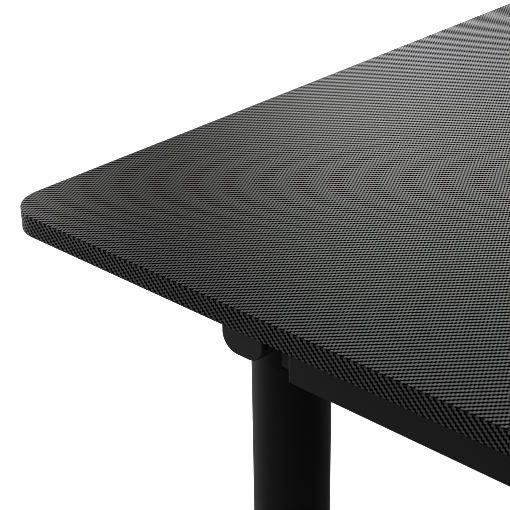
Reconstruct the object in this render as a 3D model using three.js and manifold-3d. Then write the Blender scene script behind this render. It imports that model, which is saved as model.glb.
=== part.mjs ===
// L-shaped corner desk: two laminated boards on a black steel frame with six round legs.
// Millimetres, +Z up. The group's origin is on the floor under the middle of the desk's outline.
// Inside the group, X runs along the main board's front edge from its left corner, and Y runs
// back from that edge. The return board stands at the right and reaches forward to negative Y.

import * as THREE from 'three';
import { mergeVertices } from 'three/addons/utils/BufferGeometryUtils.js';
import Module from 'manifold-3d';

const wasm = await Module();
wasm.setup();

// ---- driving dimensions -------------------------------------------------------------------

const DESK_WIDTH = 1600;
const DESK_HEIGHT = 740;
const MAIN_DEPTH = 800;
const RETURN_WIDTH = 600;
const RETURN_REACH = 600;
const TOP_THICKNESS = 18;
const CORNER_RADIUS = 36;
const LAMINATE_THICKNESS = 0.8;
const BAND_THICKNESS = 2;
const CLEARANCE = 0.3;

const ARM_WIDTH = 41;
const ARM_HEIGHT = 40.5;
const ARM_WALL = 2.5;
const ARM_UPPER_RADIUS = 5;
const ARM_LOWER_RADIUS = 15;
const ARM_SETBACK = 25;
const CAP_FLANGE = 3;
const CAP_PLUG = 12;
const EAR_LENGTH = 30;
const EAR_REACH = 22;
const EAR_THICKNESS = 3;
const SCREW_HOLE = 5.5;
const EAR_PITCH = 200;

const LEFT_ARM_INSET = 240;
const RETURN_ARM_INSET = 100;

const LEG_DIAMETER = 62;
const LEG_WALL = 2;
const LEG_SETBACK = 80;
const NECK_HEIGHT = 17;
const SADDLE_DEPTH = 24;
const SADDLE_CRADLE = 14;
const SADDLE_BOLT_HOLE = 8.5;

const STUD_DIAMETER = 10;
const STUD_REACH = 42;
const INSERT_PLUG = 30;
const INSERT_FLANGE = 4;
const PAD_DIAMETER = 50;
const PAD_HEIGHT = 10;
const PAD_RIM = 5;
const PAD_CHAMFER = 2;
const NUT_DIAMETER = 17;
const NUT_HEIGHT = 6;

const RAIL_HEIGHT = 42;
const RAIL_FLANGE = 40;
const RAIL_WALL = 2.5;
const RAIL_SETBACK = 24;
const RAIL_END_GAP = 25;
const CONNECTOR_RECESS = 13;
const CONNECTOR_THICKNESS = 8;
const CONNECTOR_OVERLAP = 42;
const CONNECTOR_STEP = 5;
const BOSS_LENGTH = 7.5;
const BOSS_DIAMETER = 14;
const BOSS_DROP = 16;
const RAIL_SCREW_PITCH = 180;
const RAIL_SCREW_MARGIN = 30;
const FLANGE_HOLE_INSET = 11;

const PLATE_WIDTH = 80;
const PLATE_THICKNESS = 3;
const PLATE_COUNT = 3;
const PLATE_CLEARANCE = 2.5;
const PLATE_HOLE_INSET = 11;

const ARC_STEPS_PER_ROOT_MM = 1.3;
const LEG_STEPS = 28;
const TURNED_STEPS = 16;
const HOLE_STEPS = 8;

// ---- derived places -------------------------------------------------------------------------

const UNDERSIDE = DESK_HEIGHT - TOP_THICKNESS;
const SEAM_X = DESK_WIDTH - RETURN_WIDTH;
const FRAME_TOP = UNDERSIDE - CLEARANCE;
const ARM_BOTTOM = FRAME_TOP - ARM_HEIGHT;
const LEG_TOP = ARM_BOTTOM - NECK_HEIGHT;
const LEG_BOTTOM = PAD_HEIGHT + CLEARANCE + INSERT_FLANGE;
const BORE_RADIUS = LEG_DIAMETER / 2 - LEG_WALL - CLEARANCE;
const BOARD_INSET = BAND_THICKNESS + CLEARANCE;

// The joining plates reach as far from the seam as the inner arm's ears leave room for.
const PLATE_REACH = RETURN_ARM_INSET - ARM_WIDTH / 2 - EAR_REACH - PLATE_CLEARANCE;

// Each arm runs front to back under a board, between the board's front and back edges.
const ARMS = [
  { name: 'left', x: LEFT_ARM_INSET, front: 0, back: MAIN_DEPTH },
  { name: 'inner', x: SEAM_X + RETURN_ARM_INSET, front: -RETURN_REACH, back: MAIN_DEPTH },
  { name: 'outer', x: DESK_WIDTH - RETURN_ARM_INSET, front: -RETURN_REACH, back: MAIN_DEPTH },
];

// Each rail joins two arms. Its web stands at y and looks to the front (-1) or to the back (1).
const [LEFT_ARM, INNER_ARM, OUTER_ARM] = ARMS;
const RAILS = [
  { name: 'front_rail', arms: [LEFT_ARM, INNER_ARM], y: RAIL_SETBACK, facing: -1 },
  { name: 'rear_rail', arms: [LEFT_ARM, INNER_ARM], y: MAIN_DEPTH - RAIL_SETBACK, facing: 1 },
  { name: 'return_front_rail', arms: [INNER_ARM, OUTER_ARM], y: RAIL_SETBACK - RETURN_REACH, facing: -1 },
  { name: 'return_middle_rail', arms: [INNER_ARM, OUTER_ARM], y: RAIL_SETBACK, facing: -1 },
  { name: 'return_rear_rail', arms: [INNER_ARM, OUTER_ARM], y: MAIN_DEPTH - RAIL_SETBACK, facing: 1 },
];

// ---- materials ------------------------------------------------------------------------------

const finish = (color, roughness, metalness) =>
  new THREE.MeshStandardMaterial({ color, roughness, metalness });
const WEAVE = finish(0x3a3a3c, 0.38, 0.1);
const EDGE = finish(0x1d1d1f, 0.45, 0.0);
const BOARD = finish(0x6b5a46, 0.9, 0.0);
const STEEL = finish(0x0e0e10, 0.45, 0.4);
const CASTING = finish(0x121214, 0.5, 0.4);
const PLASTIC = finish(0x19191b, 0.55, 0.0);
const ZINC = finish(0x9a9da2, 0.35, 0.9);

// ---- solid and outline helpers --------------------------------------------------------------

function toSolid(geometry) {
  const bare = geometry.index ? geometry.toNonIndexed() : geometry.clone();
  bare.deleteAttribute('normal');
  bare.deleteAttribute('uv');
  const merged = mergeVertices(bare, 1e-4);
  return new wasm.Manifold(new wasm.Mesh({
    numProp: 3,
    vertProperties: new Float32Array(merged.attributes.position.array),
    triVerts: new Uint32Array(merged.index.array),
  }));
}

function toGeometry(solid) {
  const mesh = solid.getMesh();
  const geometry = new THREE.BufferGeometry();
  geometry.setAttribute('position', new THREE.BufferAttribute(new Float32Array(mesh.vertProperties), 3));
  geometry.setIndex(new THREE.BufferAttribute(new Uint32Array(mesh.triVerts), 1));
  geometry.computeVertexNormals();
  return geometry;
}

const join = (...geometries) => toGeometry(geometries.map(toSolid).reduce((a, b) => a.add(b)));
const cut = (body, ...tools) => toGeometry([body, ...tools].map(toSolid).reduce((a, b) => a.subtract(b)));

// Points of an outline with square corners, each [x, y, radius]; a corner with a radius is an arc.
function roundedPoints(corners, closed) {
  const points = [];
  corners.forEach(([x, y, radius = 0], index) => {
    const corner = new THREE.Vector2(x, y);
    const isEnd = !closed && (index === 0 || index === corners.length - 1);
    if (!radius || isEnd) {
      points.push(corner);
      return;
    }
    const before = corners[(index + corners.length - 1) % corners.length];
    const after = corners[(index + 1) % corners.length];
    const toBefore = new THREE.Vector2(before[0] - x, before[1] - y).normalize();
    const toAfter = new THREE.Vector2(after[0] - x, after[1] - y).normalize();
    const steps = Math.max(2, Math.round(ARC_STEPS_PER_ROOT_MM * Math.sqrt(radius)));
    for (let step = 0; step <= steps; step += 1) {
      const angle = (step / steps) * (Math.PI / 2);
      points.push(corner.clone()
        .addScaledVector(toBefore, radius * (1 - Math.sin(angle)))
        .addScaledVector(toAfter, radius * (1 - Math.cos(angle))));
    }
  });
  return points;
}

const closedShape = (corners) => new THREE.Shape(roundedPoints(corners, true));

// A small plate with softened corners, from -halfX to halfX.
const platedShape = (halfX, front, back) => closedShape([
  [-halfX, front, SCREW_HOLE],
  [halfX, front, SCREW_HOLE],
  [halfX, back, SCREW_HOLE],
  [-halfX, back, SCREW_HOLE],
]);

function circle(x, y, diameter, steps = HOLE_STEPS) {
  const points = [];
  for (let step = 0; step < steps; step += 1) {
    const angle = (step / steps) * Math.PI * 2;
    points.push(new THREE.Vector2(x + Math.cos(angle) * diameter / 2, y + Math.sin(angle) * diameter / 2));
  }
  return points;
}

const extrudeUp = (shape, height) =>
  new THREE.ExtrudeGeometry(shape, { depth: height, bevelEnabled: false });

// A section drawn as (x, z), extruded from y = front to y = back.
const extrudeBack = (shape, front, back) =>
  extrudeUp(shape, back - front).rotateX(Math.PI / 2).translate(0, back, 0);

// A turned solid, from its profile of [radius, z] points.
const turn = (profile, steps = TURNED_STEPS) =>
  new THREE.LatheGeometry(profile.map(([r, z]) => new THREE.Vector2(r, z)), steps).rotateX(Math.PI / 2);

// A turned ring: the profile goes up the outside and closes down the bore.
const ring = (outside, bore, steps) => {
  const [first, last] = [outside[0][1], outside[outside.length - 1][1]];
  return turn([[bore, first], ...outside, [bore, last], [bore, first]], steps);
};

const desk = new THREE.Group();
desk.position.set(-DESK_WIDTH / 2, (RETURN_REACH - MAIN_DEPTH) / 2, 0);

function add(name, geometry, material, x = 0, y = 0, z = 0, turnAboutZ = 0) {
  const mesh = new THREE.Mesh(geometry, material);
  mesh.name = name;
  mesh.position.set(x, y, z);
  mesh.rotation.z = turnAboutZ;
  desk.add(mesh);
}

// ---- desk top -------------------------------------------------------------------------------

// The free edge of each board, pulled in by `inset`, from one end of the seam to the other.
const mainEdge = (inset) => [
  [SEAM_X - CLEARANCE / 2, inset],
  [inset, inset, CORNER_RADIUS - inset],
  [inset, MAIN_DEPTH - inset, CORNER_RADIUS - inset],
  [SEAM_X - CLEARANCE / 2, MAIN_DEPTH - inset],
];

const returnEdge = (inset) => [
  [SEAM_X + inset, -CLEARANCE],
  [SEAM_X + inset, inset - RETURN_REACH, CORNER_RADIUS - inset],
  [DESK_WIDTH - inset, inset - RETURN_REACH, CORNER_RADIUS - inset],
  [DESK_WIDTH - inset, MAIN_DEPTH - inset, CORNER_RADIUS - inset],
  [SEAM_X + CLEARANCE / 2, MAIN_DEPTH - inset],
];

// The return board steps out to the seam behind the inner corner.
const returnSeam = [[SEAM_X + CLEARANCE / 2, -CLEARANCE]];

function addBoard(name, edge, seam) {
  const coreHeight = TOP_THICKNESS - LAMINATE_THICKNESS - CLEARANCE;
  const laminateBottom = DESK_HEIGHT - LAMINATE_THICKNESS;
  const board = closedShape([...edge(BOARD_INSET), ...seam]);
  const outside = roundedPoints(edge(0), false);
  const inside = roundedPoints(edge(BAND_THICKNESS), false).reverse();
  const band = new THREE.Shape([...outside, ...inside]);
  add(`${name}_board`, extrudeUp(board, coreHeight), BOARD, 0, 0, UNDERSIDE);
  add(`${name}_laminate`, extrudeUp(board, LAMINATE_THICKNESS), WEAVE, 0, 0, laminateBottom);
  add(`${name}_edge_band`, extrudeUp(band, TOP_THICKNESS), EDGE, 0, 0, UNDERSIDE);
}

function addJoiningPlates() {
  const shape = platedShape(PLATE_REACH, -PLATE_WIDTH / 2, PLATE_WIDTH / 2);
  for (const sideX of [-1, 1]) {
    for (const sideY of [-1, 1]) {
      const x = sideX * (PLATE_REACH - PLATE_HOLE_INSET);
      const y = sideY * (PLATE_WIDTH / 2 - PLATE_HOLE_INSET);
      shape.holes.push(new THREE.Path(circle(x, y, SCREW_HOLE)));
    }
  }
  for (let index = 1; index <= PLATE_COUNT; index += 1) {
    const y = (MAIN_DEPTH * index) / (PLATE_COUNT + 1);
    const z = FRAME_TOP - PLATE_THICKNESS;
    add(`joining_plate_${index}`, extrudeUp(shape, PLATE_THICKNESS), ZINC, SEAM_X, y, z);
  }
}

// ---- arms, their ears and end caps ----------------------------------------------------------

// Section of the arm as (x, z) about its middle, grown outward by `grow`.
function armSection(grow) {
  const half = ARM_WIDTH / 2 + grow;
  const upper = Math.max(ARM_UPPER_RADIUS + grow, CLEARANCE);
  const lower = Math.max(ARM_LOWER_RADIUS + grow, CLEARANCE);
  return [
    [-half, ARM_BOTTOM - grow, lower],
    [half, ARM_BOTTOM - grow, lower],
    [half, FRAME_TOP + grow, upper],
    [-half, FRAME_TOP + grow, upper],
  ];
}

// Ears take the screws into the board. They stand at even steps in each bay between two rails.
function earPlaces(arm) {
  const ends = RAILS.filter((rail) => rail.arms.includes(arm)).map((rail) => rail.y);
  const stations = [...new Set(ends)].sort((a, b) => a - b);
  return stations.slice(1).flatMap((to, index) => {
    const from = stations[index];
    const steps = Math.max(2, Math.round((to - from) / EAR_PITCH));
    return Array.from({ length: steps - 1 }, (_, step) => from + ((to - from) * (step + 1)) / steps);
  });
}

function earGeometry(y) {
  const shape = platedShape(ARM_WIDTH / 2 + EAR_REACH, y - EAR_LENGTH / 2, y + EAR_LENGTH / 2);
  for (const side of [-1, 1]) {
    const x = side * (ARM_WIDTH + EAR_REACH) / 2;
    shape.holes.push(new THREE.Path(circle(x, y, SCREW_HOLE)));
  }
  return extrudeUp(shape, EAR_THICKNESS).translate(0, 0, FRAME_TOP - EAR_THICKNESS);
}

function addArm(arm) {
  const [front, back] = [arm.front + ARM_SETBACK, arm.back - ARM_SETBACK];
  const tubeFront = front + CAP_FLANGE + CLEARANCE;
  const tubeBack = back - CAP_FLANGE - CLEARANCE;
  const outline = closedShape(armSection(0));
  const bore = closedShape(armSection(-ARM_WALL));
  const tube = extrudeBack(outline, tubeFront, tubeBack);
  const ears = earPlaces(arm).map(earGeometry);
  const hollow = extrudeBack(bore, front, back);
  add(`${arm.name}_arm`, cut(join(tube, ...ears), hollow), STEEL, arm.x);

  const plug = closedShape(armSection(-ARM_WALL - CLEARANCE));
  const frontCap = join(
    extrudeBack(outline, front, front + CAP_FLANGE),
    extrudeBack(plug, front + CAP_FLANGE / 2, front + CAP_FLANGE + CAP_PLUG),
  );
  const backCap = join(
    extrudeBack(outline, back - CAP_FLANGE, back),
    extrudeBack(plug, back - CAP_FLANGE - CAP_PLUG, back - CAP_FLANGE / 2),
  );
  add(`${arm.name}_arm_front_cap`, frontCap, PLASTIC, arm.x);
  add(`${arm.name}_arm_rear_cap`, backCap, PLASTIC, arm.x);
}

// ---- legs and levelling feet ----------------------------------------------------------------

function addLeg(name, x, y) {
  const radius = LEG_DIAMETER / 2;
  const tube = ring([[radius, LEG_BOTTOM], [radius, LEG_TOP]], radius - LEG_WALL, LEG_STEPS);
  add(`${name}_leg`, tube, STEEL, x, y);

  // The saddle plugs into the tube and stands out of it as a neck that cradles the arm.
  const armCut = extrudeBack(closedShape(armSection(CLEARANCE)), -LEG_DIAMETER, LEG_DIAMETER);
  const saddle = ring([
    [BORE_RADIUS, LEG_TOP - SADDLE_DEPTH],
    [BORE_RADIUS, ARM_BOTTOM + SADDLE_CRADLE],
  ], SADDLE_BOLT_HOLE / 2, LEG_STEPS);
  add(`${name}_saddle`, cut(saddle, armCut), STEEL, x, y);

  const flangeBottom = LEG_BOTTOM - INSERT_FLANGE;
  const insert = ring([
    [radius, flangeBottom],
    [radius, LEG_BOTTOM - CLEARANCE],
    [BORE_RADIUS, LEG_BOTTOM - CLEARANCE],
    [BORE_RADIUS, LEG_BOTTOM + INSERT_PLUG],
  ], STUD_DIAMETER / 2 + CLEARANCE);
  const nutPocket = turn([
    [0, flangeBottom - CLEARANCE],
    [NUT_DIAMETER / 2 + CLEARANCE, flangeBottom - CLEARANCE],
    [NUT_DIAMETER / 2 + CLEARANCE, PAD_HEIGHT + NUT_HEIGHT + CLEARANCE],
    [0, PAD_HEIGHT + NUT_HEIGHT + CLEARANCE],
  ]);
  add(`${name}_insert`, cut(insert, nutPocket), PLASTIC, x, y);

  const padRadius = PAD_DIAMETER / 2;
  const foot = turn([
    [0, 0],
    [padRadius - PAD_CHAMFER, 0],
    [padRadius, PAD_CHAMFER],
    [padRadius, PAD_HEIGHT - PAD_RIM],
    [padRadius - PAD_RIM, PAD_HEIGHT],
    [NUT_DIAMETER / 2, PAD_HEIGHT],
    [NUT_DIAMETER / 2, PAD_HEIGHT + NUT_HEIGHT],
    [STUD_DIAMETER / 2, PAD_HEIGHT + NUT_HEIGHT],
    [STUD_DIAMETER / 2, PAD_HEIGHT + STUD_REACH],
    [0, PAD_HEIGHT + STUD_REACH],
  ]);
  add(`${name}_foot`, foot, PLASTIC, x, y);
}

// ---- rails and their connectors -------------------------------------------------------------

// An angle section with its web at the outside and its flange under the board, screwed upward.
function railGeometry(length) {
  const section = new THREE.Shape([
    new THREE.Vector2(0, -RAIL_HEIGHT),
    new THREE.Vector2(RAIL_WALL, -RAIL_HEIGHT),
    new THREE.Vector2(RAIL_WALL, -RAIL_WALL),
    new THREE.Vector2(RAIL_FLANGE, -RAIL_WALL),
    new THREE.Vector2(RAIL_FLANGE, 0),
    new THREE.Vector2(0, 0),
  ]);
  const bar = extrudeUp(section, length)
    .rotateX(Math.PI / 2)
    .rotateZ(Math.PI / 2)
    .translate(-length / 2, 0, 0);
  const spaces = Math.max(1, Math.round((length - 2 * RAIL_SCREW_MARGIN) / RAIL_SCREW_PITCH));
  const pitch = (length - 2 * RAIL_SCREW_MARGIN) / spaces;
  const holes = Array.from({ length: spaces + 1 }, (_, index) => {
    const x = RAIL_SCREW_MARGIN + pitch * index - length / 2;
    const hole = new THREE.Shape(circle(x, RAIL_FLANGE - FLANGE_HOLE_INSET, SCREW_HOLE));
    return extrudeUp(hole, 3 * RAIL_WALL).translate(0, 0, -2 * RAIL_WALL);
  });
  return cut(bar, ...holes);
}

// The block between an arm and a rail. `hand` is 1 where the arm is on the block's left.
// X counts from the arm's side and Y from the web's outer face.
function connectorGeometry(hand) {
  const backOfWeb = RAIL_WALL + CLEARANCE;
  const front = CONNECTOR_RECESS;
  const back = CONNECTOR_RECESS + CONNECTOR_THICKNESS;
  const behindRail = RAIL_END_GAP + CONNECTOR_STEP;
  const end = RAIL_END_GAP + CONNECTOR_OVERLAP;
  const plan = [
    [BOSS_LENGTH, front],
    [behindRail, front],
    [behindRail, backOfWeb],
    [end, backOfWeb],
    [end, back],
    [BOSS_LENGTH, back],
  ];
  const height = RAIL_HEIGHT - RAIL_WALL - CLEARANCE;
  const block = extrudeUp(new THREE.Shape(plan.map(([x, y]) => new THREE.Vector2(hand * x, y))), height)
    .translate(0, 0, -RAIL_HEIGHT);
  const bossEnd = BOSS_LENGTH + CONNECTOR_THICKNESS / 2;
  const bossRadius = BOSS_DIAMETER / 2;
  const boss = turn([[0, CLEARANCE], [bossRadius, CLEARANCE], [bossRadius, bossEnd], [0, bossEnd]])
    .rotateY(hand * Math.PI / 2)
    .translate(0, (front + back) / 2, -BOSS_DROP);
  return join(block, boss);
}

function addRail(rail) {
  const [first, second] = rail.arms;
  const from = first.x + ARM_WIDTH / 2;
  const to = second.x - ARM_WIDTH / 2;
  const turned = rail.facing === 1 ? Math.PI : 0;
  const middle = (from + to) / 2;
  add(rail.name, railGeometry(to - from - 2 * RAIL_END_GAP), STEEL, middle, rail.y, FRAME_TOP, turned);

  // Turned round, a rail has its left-hand connector at its right end.
  const [atFirst, atSecond] = rail.facing === 1 ? [-1, 1] : [1, -1];
  const [leftName, rightName] = [`${rail.name}_left_connector`, `${rail.name}_right_connector`];
  add(leftName, connectorGeometry(atFirst), CASTING, from, rail.y, FRAME_TOP, turned);
  add(rightName, connectorGeometry(atSecond), CASTING, to, rail.y, FRAME_TOP, turned);
}

// ---- the desk -------------------------------------------------------------------------------

addBoard('main', mainEdge, []);
addBoard('return', returnEdge, returnSeam);
addJoiningPlates();
for (const arm of ARMS) {
  addArm(arm);
  addLeg(`${arm.name}_front`, arm.x, arm.front + LEG_SETBACK);
  addLeg(`${arm.name}_rear`, arm.x, arm.back - LEG_SETBACK);
}
RAILS.forEach(addRail);

export default desk;
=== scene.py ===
"""Finished looks for an L-shaped corner desk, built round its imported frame.

Two boards with a twill-weave laminate and edging lie on a black steel frame: three rounded arms
that run front to back, angle rails between them, and six round legs on levelling feet.
"""

import math

import bmesh
import bpy
from mathutils import Matrix, Vector


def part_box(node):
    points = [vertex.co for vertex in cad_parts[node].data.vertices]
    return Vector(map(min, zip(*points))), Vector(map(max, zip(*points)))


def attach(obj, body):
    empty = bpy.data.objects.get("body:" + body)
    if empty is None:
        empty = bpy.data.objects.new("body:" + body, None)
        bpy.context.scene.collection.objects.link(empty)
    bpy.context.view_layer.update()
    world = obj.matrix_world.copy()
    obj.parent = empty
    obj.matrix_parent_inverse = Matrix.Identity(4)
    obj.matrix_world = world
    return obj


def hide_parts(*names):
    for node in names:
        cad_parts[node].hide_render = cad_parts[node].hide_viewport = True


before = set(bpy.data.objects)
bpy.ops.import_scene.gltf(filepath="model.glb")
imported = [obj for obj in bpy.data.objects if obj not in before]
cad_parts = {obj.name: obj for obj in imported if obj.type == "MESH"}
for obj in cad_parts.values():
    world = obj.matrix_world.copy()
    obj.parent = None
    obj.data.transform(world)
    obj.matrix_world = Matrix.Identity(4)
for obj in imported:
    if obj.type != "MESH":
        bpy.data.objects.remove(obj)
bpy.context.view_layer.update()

bl_info = {
    "name": "Corner desk",
    "version": (1, 0, 0),
    "blender": (4, 5, 0),
    "location": "View3D > Sidebar > Corner desk",
    "description": "Builds the finished surfaces of an L-shaped corner desk",
    "category": "Add Mesh",
}

MM = 0.001
FRAME_BODY = "frame"
BOARDS = ("main", "return")
ARMS = ("left", "inner", "outer")
ENDS = ("front", "rear")
LEGS = [f"{arm}_{end}" for arm in ARMS for end in ENDS]
RAILS = ("front_rail", "rear_rail", "return_front_rail", "return_middle_rail", "return_rear_rail")
PLATES = ("joining_plate_1", "joining_plate_2", "joining_plate_3")
HANDS = ("left", "right")

# Clearances and section sizes that the frame's boxes don't show.
HAIRLINE = 0.3 * MM
SEAM_GAP = 0.15 * MM
SHEET = 0.8 * MM
TUBE_WALL = 2.5 * MM
LEG_WALL = 2 * MM
CAP_FLANGE = 3 * MM
EAR_LENGTH = 30 * MM
EAR_REACH = 22 * MM
EAR_THICKNESS = 3 * MM
EAR_CORNER = 5.5 * MM
EAR_PITCH = 200 * MM
RAIL_WALL = 2.5 * MM
RAIL_BEND = 3 * MM
RAIL_REACH = 26 * MM
RAIL_SCREW_MARGIN = 30 * MM
RAIL_SCREW_PITCH = 180 * MM
FLANGE_HOLE = 11 * MM
PLATE_HOLE = 11 * MM
BOLT_INSET = 18 * MM
COLLAR = 3.7 * MM
SADDLE_BORE = 8.5 * MM
SHOULDER_INSET = 0.1 * MM
RAIL_INNER_BEND = 0.8 * MM
LEG_CHAMFER = 0.4 * MM
NECK_FOOT_CHAMFER = 1 * MM
NECK_TOP_CHAMFER = 0.5 * MM
COLLAR_ROUND = 1.2 * MM
COLLAR_CHAMFER = 0.3 * MM
PLUG_CHAMFER = 2 * MM
STUD = 10 * MM
THREAD_DEPTH = 0.7 * MM
THREAD_PITCH = 1.5 * MM
NUT = 17 * MM
NUT_HEIGHT = 6 * MM
NUT_POCKET = 17.6 * MM
NUT_RISE = 6 * MM
PAD_HEIGHT = 10 * MM
PAD_SOLE_ROUND = 2 * MM
PAD_DOME = 5 * MM
PAD_STEP = 0.6 * MM
NUT_ROUND = 0.5 * MM
STUD_END = 1 * MM
STUD_CHAMFER = 0.6 * MM
SCREW_HEIGHT = 2.6 * MM
BOLT_HEAD = 10 * MM
BOLT_HEIGHT = 5 * MM
BOLT_CHAMFER = 0.5 * MM
CASTING_ROUND = 0.7 * MM
PLATE_ROUND = 0.3 * MM
MERGE_DISTANCE = 0.001 * MM

# How finely round shapes are drawn, and the angles in degrees past which an edge counts as sharp.
CORNER_SEGMENTS = 24
LEG_STEPS = 96
NECK_STEPS = 80
INSERT_STEPS = 72
FOOT_STEPS = 64
BOLT_STEPS = 28
SCREW_STEPS = 24
SQUARE_EDGE = 60
CAST_EDGE = 40

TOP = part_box("main_edge_band")[1].z
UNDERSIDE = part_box("main_edge_band")[0].z
FRAME_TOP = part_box("left_arm")[1].z
ARM_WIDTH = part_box("left_arm_front_cap")[1].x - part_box("left_arm_front_cap")[0].x

# The twill, in cells: its repeat, how much of that a light tow covers, and where each weave stands
# against the desk's front left corner.
WEAVE_REPEAT = 3.0
LIGHT_RUN = 1.5
LAMINATE_PHASE = (-0.06, -0.30)
EDGING_PHASE = (-0.30, 5.0 / 3.0 - 0.32)

# Broad soft glows round the desk: turn and rise in degrees, sharpness, strength.
STUDIO_GLOWS = (
    (24.0, 20.0, 200.0, 6.4),
    (37.0, 20.0, 200.0, 4.8),
    (43.0, 10.0, 200.0, 1.5),
    (60.0, 20.0, 200.0, 7.5),
    (180.0, 70.0, 3.0, 1.2),
)

# A large soft lamp at the left, for the desk's left side.
LAMP_PLACE = (-3.6, -0.7, 0.9)
LAMP_AIM = (-0.6, 0.0, 0.6)
LAMP_SIZE = (3.0, 1.7)
LAMP_POWER = 115.0

# The floor's white in view, the camera's sensor in mm and reach in metres, and how tight it samples.
FLOOR_WHITE = 0.8
SENSOR_WIDTH = 36.0
VIEW_END = 100.0
FILTER_WIDTH = 0.8


# ---- sizes and colours that a user would change ---------------------------------------------


def length(name, description, default):
    return bpy.props.FloatProperty(
        name=name, description=description, default=default, min=0.0, precision=5, unit="LENGTH"
    )


def amount(name, description, default, top=10.0):
    return bpy.props.FloatProperty(
        name=name, description=description, default=default, min=0.0, max=top
    )


def colour(name, description, default):
    return bpy.props.FloatVectorProperty(
        name=name, description=description, default=default, size=3, subtype="COLOR", min=0.0, max=1.0
    )


def angle(name, description, degrees):
    return bpy.props.FloatProperty(
        name=name, description=description, default=math.radians(degrees), subtype="ANGLE"
    )


class DeskWeave(bpy.types.PropertyGroup):
    """The printed twill on the laminate and the edging."""

    cell: length("Cell", "Width of one tow, a third of the weave's repeat", 1.9216 * MM)
    light: colour("Light tow", "Tint of the shining tows", (0.129, 0.127, 0.133))
    dark: colour("Dark tow", "Colour of the tows in shade", (0.0012, 0.0012, 0.0013))
    # The edging's light tow is the laminate's tint made a tenth darker: painted shade on the edging's
    # upright faces.
    shaded_edging_light: colour("Light edging tow", "Tint of the edging's tows", (0.116, 0.115, 0.119))
    gloss: amount("Tow roughness", "Roughness of the shining tows", 0.30, 1.0)
    relief: length("Relief", "Height of a tow over the gaps", 0.035 * MM)
    corner: length("Corner radius", "Radius of the desk's outer corners", 36 * MM)
    band: length("Edging", "Thickness of the edging strip", 2 * MM)
    lip: length("Edging lip", "Rounding of the edging's long edges", 0.15 * MM)


class DeskMetal(bpy.types.PropertyGroup):
    """The steel frame, its caps and its castings."""

    steel: colour("Powder coat", "Black of the legs and arms", (0.0035, 0.0035, 0.0037))
    # The necks' coat is a duller copy of the powder coat, made to look darker: painted shade where the
    # arms shadow the tops of the legs.
    neck: colour("Neck shade coat", "Dull black of the necks under the arms", (0.0055, 0.0055, 0.0056))
    rail: colour("Rail coat", "Black of the rails", (0.0078, 0.0078, 0.0080))
    plastic: colour("Moulded parts", "Black of caps, inserts and feet", (0.0095, 0.0095, 0.0097))
    zinc: colour("Zinc", "Zinc plating on the joining plates", (0.55, 0.56, 0.58))
    oxide: colour("Black oxide", "Finish of the screws and bolts in the frame", (0.09, 0.09, 0.092))
    backing: colour("Backing", "Dark melamine under the boards", (0.018, 0.018, 0.019))
    arm_lower: length("Arm's lower corners", "Radius under the arm", 15 * MM)
    arm_upper: length("Arm's upper corners", "Radius at the top of the arm", 5 * MM)
    cap_round: length("Cap rounding", "Rounding of an end cap's face", 1.6 * MM)
    leg_roll: length("Leg's top edge", "Rounding of the top edge of a leg", 0.3 * MM)
    rail_end: length("Rail's end", "Rounding of a rail's outer face at its ends", 2 * MM)
    soften: length("Softened edge", "Rounding of cut steel edges", 0.4 * MM)
    screw: length("Screw head", "Diameter of a pan head", 8.4 * MM)


class DeskStage(bpy.types.PropertyGroup):
    """Camera, floor and soft light."""

    eye: bpy.props.FloatVectorProperty(
        name="Camera", description="Where the camera stands", default=(0.0271, -0.6859, 1.1993),
        size=3, subtype="TRANSLATION", unit="LENGTH"
    )
    turn: angle("Turn", "Camera's turn from the back towards the left", 41.09)
    pitch: angle("Pitch", "Camera's tilt below the horizon", 27.13)
    lens: amount("Lens", "Focal length on a 36 mm sensor", 95.33, 500.0)
    shift: bpy.props.FloatProperty(name="Shift", description="Sideways lens shift", default=-0.0843)
    floor: length("Floor", "Side of the floor", 14.0)
    glow: amount("Floor glow", "How much the floor is lifted towards white", 0.75)
    bounce: amount("Floor bounce", "How much light the floor throws back on the desk", 0.28, 1.0)
    ambient: amount("Ambient", "Even light from all round", 0.15)
    glows: amount("Glows", "Strength of the broad glows", 1.0)
    lamps: amount("Lamps", "Strength of the lamps", 1.0)


# ---- shader graphs --------------------------------------------------------------------------


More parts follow.
